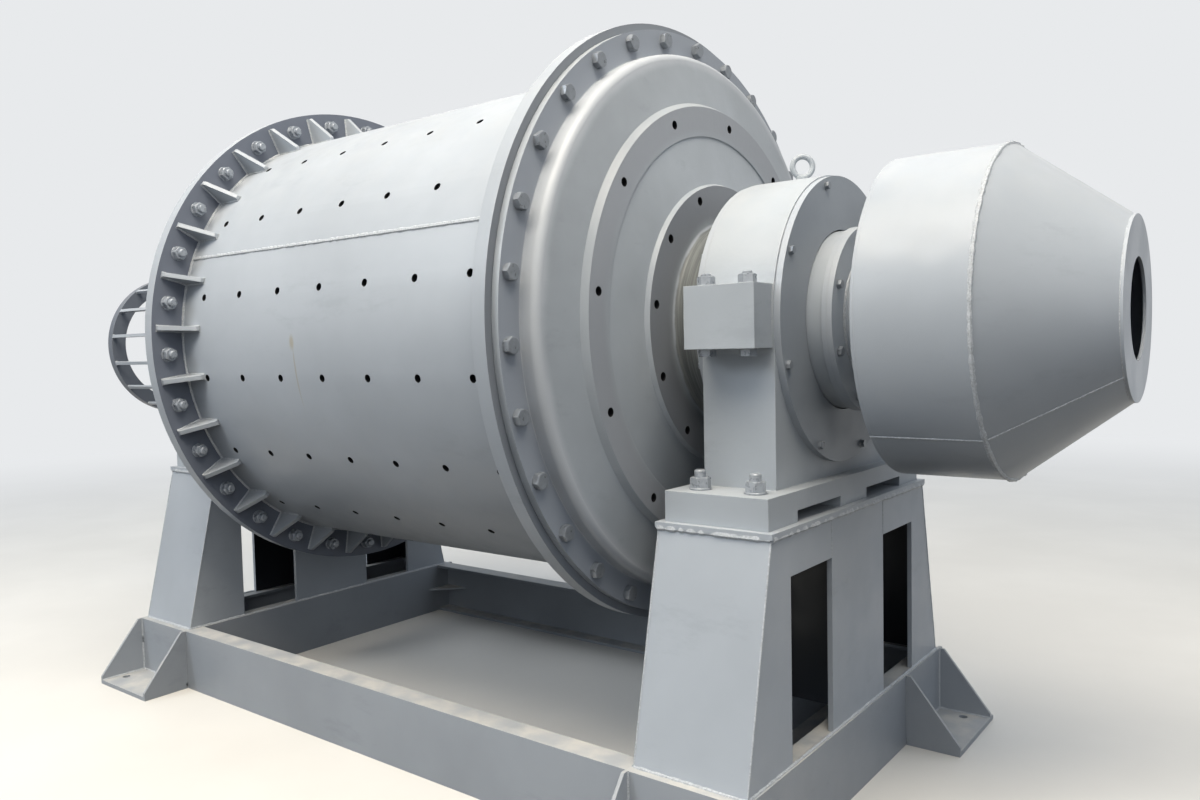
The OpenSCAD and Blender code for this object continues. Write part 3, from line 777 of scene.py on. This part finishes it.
@dataclass(frozen=True)
class ThreadedSteel:
    """Painted fasteners: paint over steel, with a hint of the thread's turns along one axis."""

    name: str
    colour: Colour
    roughness: float
    thread_axis: str = "Z"
    pitch: float = 0.004
    thread: float = 0.10

    def make(self) -> Finish:
        """The finished material."""
        coat = Coat(self.name)
        stains = coat.noise(45.0, 4.0, 0.55)
        phase = coat.times(coat.axis(self.thread_axis, coat.place), 2 * math.pi / self.pitch)
        turns = coat.sum("SINE", phase, 0.0)
        gloss = coat.span(stains, 0.3, 0.7, self.roughness - 0.08, self.roughness + 0.12)
        return coat.close(coat.mottle(stains, self.colour, 0.88, 1.10), gloss,
                          coat.bump(turns, 0.0003, self.thread), 0.25)


@dataclass(frozen=True)
class BeadPaint:
    """Painted weld bead with the small ripples of its laying."""

    name: str
    colour: Colour

    def make(self) -> Finish:
        """The finished material."""
        coat = Coat(self.name)
        ripples = coat.noise(150.0, 4.0, 0.65)
        return coat.close(coat.mottle(ripples, self.colour, 0.8, 1.25), coat.span(ripples, 0.3, 0.7, 0.34, 0.52),
                          coat.bump(ripples, 0.0012, 0.6))


class PaintShop:
    """All the finishes, and which CAD node wears which."""

    def __init__(self, nodes: dict[str, bpy.types.Object]) -> None:
        """Mixes the finishes for the frame's nodes."""
        self.nodes = nodes
        dents = (tuple(SHAFT.at(End.FEED, 2.179, 0.570, 24.8)), tuple(SHAFT.at(End.FEED, 2.305, 0.570, 21.5)))
        self.shell = StainedPaint("shell_paint", GREY, roughness=0.34).make()
        self.plate = Paint("plate_paint", GREY).make()
        self.feeder = Paint("feeder_paint", GREY, roughness=0.33, dents=dents).make()
        # the darker flange faces are painted shade, darkest on the discharge flange, which the drum shades
        self.flanges = {end: FlangePaint(f"{end.word}_flange_paint", GREY, face=face).make()
                        for end, face in ((End.FEED, (122, 127, 134)), (End.DISCHARGE, (102, 108, 120)))}
        # the casting's rounded edges get a stronger painted highlight
        self.casting = Paint("casting_paint", CAST_GREY, roughness=0.40, casting=0.0006, edge=0.004,
                             edge_glint_share=0.62, flush_at=(SHAFT.height,)).make()
        # the seals' darker faces are painted shade
        self.seals = FlangePaint("seal_paint", GREY, face=(138, 144, 151)).make()
        self.steel = BareSteel("bearing_ring_steel").make()
        # the trommel's rings are painted dark: painted shade on their inner surfaces
        self.screen_ring_shade = Paint("screen_ring_shade_paint", (96, 102, 112)).make()
        self.base = Paint("base_frame_paint", BASE_GREY, roughness=0.38, dust=0.48).make()
        self.bolts = ThreadedSteel("bolt_paint", (128, 133, 139), roughness=0.34, thread_axis="X", thread=0.0).make()
        self.nuts = ThreadedSteel("nut_paint", (145, 151, 159), roughness=0.30, thread_axis="X").make()
        self.studs = ThreadedSteel("stud_paint", (150, 155, 161), roughness=0.32).make()
        # the beads' colour is a little lighter than the paint, a painted highlight for the glints on their ripples
        self.beads = BeadPaint("weld_bead_paint", (172, 176, 180)).make()

    def finish_of(self, name: str) -> Finish:
        """The finish that a CAD node wears, by the words of its name."""
        for words, finish in (
                (("bearing_body", "bearing_cap", "eye_bolt"), self.casting),
                (("_seal",), self.seals),
                (("bearing_ring",), self.steel),
                (("trommel_mid_ring", "trommel_end_ring"), self.screen_ring_shade),
                (("_base", "_brackets", "_beam", "corner_gussets"), self.base)):
            if name.endswith(words):
                return finish
        return self.plate

    def dress_nodes(self) -> None:
        """Gives every CAD node its finish."""
        own = {"drum_shell": self.shell, "feeder_drum": self.feeder}
        for end in End:
            own[f"{end.word}_head"] = HeadPaint(f"{end.word}_head_paint", CAST_GREY, clouding=0.09, casting=0.0005,
                                                side=end).make()
            own[f"{end.word}_shell_flange"] = self.flanges[end]
            own[f"{end.word}_pedestal"] = PedestalPaint(f"{end.word}_pedestal_paint", GREY, end=end).make()
        for name, obj in self.nodes.items():
            for slot in obj.material_slots:
                slot.material = own.get(name) or self.finish_of(name)
        LOG.info("finishes: %d nodes", len(self.nodes))


@dataclass
class DrumFlange:
    """The bolted joint between the shell and one head."""

    shop: PaintShop
    end: End
    bolt_count: int = 30
    bolt_phase: float = 8.34
    circle_r: float = 1.156
    head_face_x: float = 1.132
    shell_face_x: float = 1.040
    shell_r: float = 1.075

    def build(self) -> None:
        """Builds the bolt heads, the nuts and the weld bead of the shell flange."""
        out = SHAFT.along(self.end)
        word = self.end.word
        for name, fastener, x, facing, finish in (
                ("bolt_heads", FLANGE_HEAD, self.head_face_x, out, self.shop.bolts),
                ("nuts", FLANGE_NUT, self.shell_face_x, -out, self.shop.nuts)):
            spots = bolt_circle(self.end, x, self.circle_r, self.bolt_phase, self.bolt_count, facing)
            fastener.stamped(spots, 9).piece(f"{word}_flange_{name}", finish, Body.DRUM, "grey_paint", FASTENER_CREASE)
        bead = Shape().around(self.end, self.shell_face_x, self.shell_r, FLANGE_WELD, 3)
        bead.piece(f"{word}_flange_weld", self.shop.beads, Body.DRUM, "grey_paint")


@dataclass
class ShellSeams:
    """The lengthwise seam of the rolled shell and the weld beads of the gussets."""

    shop: PaintShop
    seam_angle: float = 20.7
    shell_r: float = 1.075
    half_len: float = 1.040
    gusset_phase: float = 2.34
    gusset_count: int = 30
    gusset_t: float = 0.020
    gusset_len: float = 0.150
    gusset_h: float = 0.132

    def build(self) -> None:
        """Builds the seam and the gussets' beads."""
        ends = [SHAFT.at(End.FEED, side * self.half_len, self.shell_r - 0.003, self.seam_angle) for side in (-1, 1)]
        seam = Shape().straight(*ends, SHELL_SEAM, 5)
        seam.piece("shell_seam_weld", self.shop.beads, Body.DRUM, "grey_paint")
        beads = Shape()
        foot_r = self.shell_r + 0.001
        for k in range(self.gusset_count):
            angle = self.gusset_phase + 360 * k / self.gusset_count
            side = SHAFT.outward(angle + 90) * (self.gusset_t / 2)
            nose, foot, top = (SHAFT.at(End.DISCHARGE, x, radius, angle) for x, radius in (
                (self.half_len - self.gusset_len, foot_r), (self.half_len, foot_r),
                (self.half_len, self.shell_r + self.gusset_h)))
            for hand in (-1, 1):
                for start, stop, seed in ((nose, foot, k * 2 + hand), (foot, top, k * 3 + hand)):
                    beads.straight(start + side * hand, stop + side * hand, GUSSET_WELD, seed, 6)
        beads.piece("gusset_welds", self.shop.beads, Body.DRUM, "light_paint")


@dataclass
class BearingFixings:
    """Screws, bolts and studs of one bearing housing."""

    shop: PaintShop
    end: End
    seal_face_x: float = 0.167
    screw_count: int = 8
    screw_phase: float = 27.0
    screw_circle_r: float = 0.513
    lug_x: float = 0.080
    lug_y: float = 0.605
    lug_top: float = 1.928
    lug_foot: float = 1.710
    stud_x: float = 0.108
    stud_y: float = 0.617
    foot_top: float = 1.221
    plate_foot: float = 1.093

    def build(self) -> None:
        """Builds the seal screws, the lug bolts and the foot studs."""
        up = Vector((0, 0, 1))
        out = SHAFT.along(self.end)

        def at_corners(x: float, y: float, z: float, facing: Vector) -> list[Spot]:
            """The same place at all four corners of the housing."""
            return [(SHAFT.over_bearing(self.end, sx * x, sy * y, z), facing) for sx in (-1, 1) for sy in (-1, 1)]

        rows = [
            (f"{name}_seal_screws", SEAL_SCREW, self.shop.bolts, "dark_paint",
             bolt_circle(self.end, SHAFT.bearing_x + x, self.screw_circle_r, self.screw_phase, self.screw_count,
                         facing))
            for name, x, facing in (("outer", self.seal_face_x, out), ("inner", -self.seal_face_x, -out))]
        rows += [
            (name, fastener, self.shop.studs, "grey_paint", at_corners(x, y, z, facing))
            for name, fastener, x, y, z, facing in (
                ("lug_nuts", LUG_NUT, self.lug_x, self.lug_y, self.lug_top, up),
                ("lug_bolt_heads", LUG_HEAD, self.lug_x, self.lug_y, self.lug_foot, -up),
                ("foot_nuts", FOOT_NUT, self.stud_x, self.stud_y, self.foot_top, up),
                ("foot_lower_nuts", LUG_NUT, self.stud_x, self.stud_y, self.plate_foot, -up))]
        for seed, (name, fastener, finish, slot, spots) in enumerate(rows):
            fastener.stamped(spots, seed).piece(f"{self.end.word}_{name}", finish, Body.STAND, slot, FASTENER_CREASE)


@dataclass
class EndFlange:
    """The bolts that hold the feeder or the trommel to the end of its trunnion."""

    shop: PaintShop
    end: End
    name: str
    seed: int
    face_x: float = 1.905
    circle_r: float = 0.307
    phase: float = 22.5
    count: int = 8

    def build(self) -> None:
        """Builds the bolts."""
        spots = bolt_circle(self.end, self.face_x, self.circle_r, self.phase, self.count, SHAFT.along(self.end))
        END_BOLT.stamped(spots, self.seed).piece(self.name, self.shop.bolts, Body.DRUM, "grey_paint", FASTENER_CREASE)


@dataclass
class FeederSeams:
    """The seams of the feeder's rolled plates."""

    shop: PaintShop
    radius: float = 0.570
    mouth_r: float = 0.300
    back_x: float = 2.063
    cone_x: float = 2.430
    mouth_x: float = 2.780
    seam_angle: float = -44.9
    neck_r: float = 0.238
    neck_flange_x: float = 1.905

    def build(self) -> None:
        """Builds the beads."""
        beads = Shape()
        beads.around(End.FEED, self.cone_x, self.radius - 0.004, CONE_SEAM, 31)
        beads.around(End.FEED, self.mouth_x, self.mouth_r - 0.003, MOUTH_WELD, 32)
        corner = SHAFT.at(End.FEED, self.cone_x, self.radius - 0.002, self.seam_angle)
        for x, radius in ((self.back_x, self.radius - 0.002), (self.mouth_x, self.mouth_r - 0.002)):
            beads.straight(SHAFT.at(End.FEED, x, radius, self.seam_angle), corner, PLATE_SEAM, 33)
        for x in (self.neck_flange_x, self.back_x):
            beads.around(End.FEED, x, self.neck_r, NECK_WELD, 35)
        beads.piece("feeder_welds", self.shop.beads, Body.DRUM, "grey_paint")


@dataclass
class TrommelSeams:
    """The beads that hold the trommel's bars."""

    shop: PaintShop
    bar_count: int = 16
    bar_phase: float = 7.7
    bar_r: float = 0.452
    bar_w: float = 0.020
    bead_half: float = 0.007
    flange_x: float = 1.905
    end_x: float = 3.056

    def build(self) -> None:
        """Builds the beads."""
        beads = Shape()
        for k in range(self.bar_count):
            angle = self.bar_phase + 360 * k / self.bar_count
            across = SHAFT.outward(angle + 90) * (self.bar_w / 2)
            along = SHAFT.outward(angle) * self.bead_half
            for x in (self.flange_x, self.end_x):
                spot = SHAFT.at(End.DISCHARGE, x, self.bar_r, angle)
                for hand in (-1, 1):
                    edge = spot + across * hand
                    beads.straight(edge - along, edge + along, BAR_WELD, k + hand, 6)
        beads.piece("trommel_welds", self.shop.beads, Body.DRUM, "light_paint")


@dataclass
class PedestalSeams:
    """Weld beads of one pedestal, its base and its brackets."""

    shop: PaintShop
    end: End
    wall_x: float = 0.218
    wall_top_y: float = 0.722
    wall_foot_y: float = 0.900
    base_top: float = 0.300
    walls_top: float = 1.093
    base_x: float = 0.230
    base_y: float = 0.935
    bracket_reach: float = 0.225
    bracket_floor: float = 0.020
    bracket_t: float = 0.014
    side_bracket: tuple[float, float] = (0.475, 0.932)
    seam_y: float = 0.250
    window_top: float = 0.946

    def lay(self, beads: Shape, start: Triple, stop: Triple, weld: Weld, seed: int) -> None:
        """Lays a straight bead between two places, each given away from the drum, to the rear and up."""
        beads.straight(*(SHAFT.over_bearing(self.end, *place) for place in (start, stop)), weld, seed)

    def build(self) -> None:
        """Builds the pedestal's beads."""
        beads = Shape()
        seed = 40
        for z, y, weld in ((self.walls_top, self.wall_top_y, RIM_WELD), (self.base_top, self.wall_foot_y, BASE_WELD)):
            ring = [(sx * self.wall_x, sy * y, z) for sx, sy in ((1, 1), (1, -1), (-1, -1), (-1, 1))]
            for start, stop in zip(ring, ring[1:] + ring[:1]):
                self.lay(beads, start, stop, weld, seed)
                seed += 1
        for x in (0.001 - self.wall_x, self.wall_x - 0.001):
            for sy in (-1, 1):
                self.lay(beads, (x, sy * (self.wall_foot_y - 0.001), self.base_top + 0.002),
                         (x, sy * (self.wall_top_y - 0.001), self.walls_top - 0.002), CORNER_WELD, seed)
                self.lay(beads, (x, sy * self.seam_y, self.window_top), (x, sy * self.seam_y, self.walls_top),
                         WALL_SEAM, seed)
                seed += 1
        beads.piece(f"{self.end.word}_pedestal_welds", self.shop.beads, Body.STAND, "light_paint")
        self.build_bracket_beads()

    def build_bracket_beads(self) -> None:
        """Builds the beads that hold the brackets to the base."""
        beads = Shape()
        seed = 70
        low, top = self.bracket_floor, self.base_top - 0.004
        for sy in (-1, 1):
            y = sy * self.base_y
            self.lay(beads, (-self.base_x, y, low), (self.base_x, y, low), BRACKET_FOOT_WELD, seed)
            for x in (self.bracket_t - self.base_x, self.base_x - self.bracket_t):
                self.lay(beads, (x, y, low), (x, y, top), BRACKET_WELD, seed + 1)
                self.lay(beads, (x, y, low), (x, y + sy * self.bracket_reach, low), BRACKET_WELD, seed + 2)
                seed += 3
        x = self.base_x
        y0, y1 = self.side_bracket
        self.lay(beads, (x, y0, low), (x, y1, low), BRACKET_FOOT_WELD, seed)
        for y in (y0 + self.bracket_t, y1 - self.bracket_t):
            self.lay(beads, (x, y, low), (x, y, top), BRACKET_WELD, seed + 1)
            self.lay(beads, (x, y, low), (x + self.bracket_reach, y, low), BRACKET_WELD, seed + 2)
        beads.piece(f"{self.end.word}_bracket_welds", self.shop.beads, Body.STAND, "dark_paint")


@dataclass(frozen=True)
class Lamp:
    """One soft rectangular lamp: where it hangs, what it faces, its two sides, its power and its tint."""

    name: str
    place: Triple
    target: Triple
    sides: tuple[float, float]
    watts: float
    tint: Triple

    def hang(self) -> None:
        """Hangs the lamp."""
        data = bpy.data.lights.new(self.name, "AREA")
        data.shape = "RECTANGLE"
        data.size, data.size_y = self.sides
        data.energy = self.watts
        data.color = self.tint
        aim = Vector(self.target) - Vector(self.place)
        placed(self.name, data, Matrix.Translation(self.place) @ aim.to_track_quat("-Z", "Y").to_matrix().to_4x4())


@dataclass
class Studio:
    """The pale floor, the lamps and the camera at the photograph's angle."""

    eye: Triple = (3.409, -3.424, 1.717)
    right: Triple = (0.79409, 0.60742, -0.02131)
    up: Triple = (-0.01571, 0.05555, 0.99832)
    forward: Triple = (-0.60759, 0.79243, -0.05366)
    lens: float = 28.162
    floor_half: float = 60.0
    floor_tints: tuple[Colour, Colour] = ((214, 211, 205), (221, 218, 212))
    floor_bounce: Colour = (42, 40, 37)
    haze: tuple[float, float] = (5.0, 15.0)
    background: Colour = (232, 234, 236)
    sky: Colour = (230, 240, 252)
    horizon: float = 0.42
    zenith: float = 0.95
    lamps: tuple[Lamp, ...] = (
        Lamp("skylight", (1.7, -3.2, 7.6), (0.2, 0.0, 1.7), (8.0, 3.6), 800.0, (1.0, 0.91, 0.77)),
        Lamp("doorway", (7.0, -6.4, 4.6), (0.8, 0.0, 1.7), (1.1, 3.2), 52.0, (1.0, 0.96, 0.90)),
        Lamp("gate", (-8.0, -14.0, 9.5), (-0.4, 0.0, 1.6), (4.0, 4.0), 860.0, (0.86, 0.93, 1.0)))

    def build(self) -> None:
        """Builds the whole studio."""
        self.set_camera()
        self.lay_floor()
        self.light_world()
        for lamp in self.lamps:
            lamp.hang()
        bpy.context.scene.view_settings.view_transform = "Standard"

    def set_camera(self) -> None:
        """Places the camera."""
        data = bpy.data.cameras.new("camera")
        data.sensor_fit = "HORIZONTAL"
        data.sensor_width = 36.0
        data.lens = self.lens
        data.clip_end = 200.0
        back = -Vector(self.forward)
        axes = Matrix((self.right, self.up, back)).transposed().to_4x4()
        bpy.context.scene.camera = placed("camera", data, Matrix.Translation(self.eye) @ axes)

    def lay_floor(self) -> None:
        """Lays the pale floor."""
        bm = bmesh.new()
        bmesh.ops.create_grid(bm, x_segments=1, y_segments=1, size=self.floor_half)
        mesh = bpy.data.meshes.new("floor")
        bm.to_mesh(mesh)
        bm.free()
        coat = Coat("pale_floor")
        seen = coat.looked_at()
        cloud = coat.blend(coat.span(coat.noise(0.6, 5.0, 0.55), 0.35, 0.7), *map(linear, self.floor_tints))
        coat.recolour(coat.blend(seen, linear(self.floor_bounce), cloud))
        coat.feed(coat.shader, {"Roughness": 0.55})
        far = coat.times(coat.span(coat.away((0.0, 0.0, 0.0)), *self.haze), seen)
        haze = coat.node("ShaderNodeEmission", {"Color": linear(self.background)})
        coat.mix_shaders(far, coat.shader, haze, "OUTPUT_MATERIAL")
        mesh.materials.append(coat.material)
        floor = placed("floor", mesh)

    def light_world(self) -> None:
        """Makes the even light of the room, and a paler background where the camera or a gloss looks at it."""
        world = bpy.data.worlds.new("studio_world")
        world.use_nodes = True
        nodes = Nodes(world.node_tree)
        lighting = nodes.found("BACKGROUND")
        rise = nodes.axis("Z", nodes.node("ShaderNodeTexCoord").outputs["Generated"])
        glow = nodes.node("ShaderNodeMapRange", {"Value": rise, "To Min": self.horizon, "To Max": self.zenith})
        nodes.feed(lighting, {"Color": linear(self.sky), "Strength": glow.outputs["Result"]})
        shown = nodes.node("ShaderNodeBackground", {"Color": linear(self.background)})
        nodes.mix_shaders(nodes.looked_at(), lighting, shown, "OUTPUT_WORLD")
        bpy.context.scene.world = world


def main() -> None:
    """Dresses the frame, piece by piece, and sets the studio around it."""
    logging.basicConfig(level=logging.INFO, format="%(name)s %(message)s", stream=sys.stdout)
    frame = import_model()
    shop = PaintShop(frame["nodes"])
    shop.dress_nodes()
    for end in End:
        DrumFlange(shop, end).build()
        BearingFixings(shop, end).build()
        PedestalSeams(shop, end).build()
    ShellSeams(shop).build()
    EndFlange(shop, End.FEED, "feeder_flange_bolts", 17).build()
    FeederSeams(shop).build()
    EndFlange(shop, End.DISCHARGE, "trommel_flange_bolts", 23).build()
    TrommelSeams(shop).build()
    Studio().build()


if __name__ == "__main__":
    main()
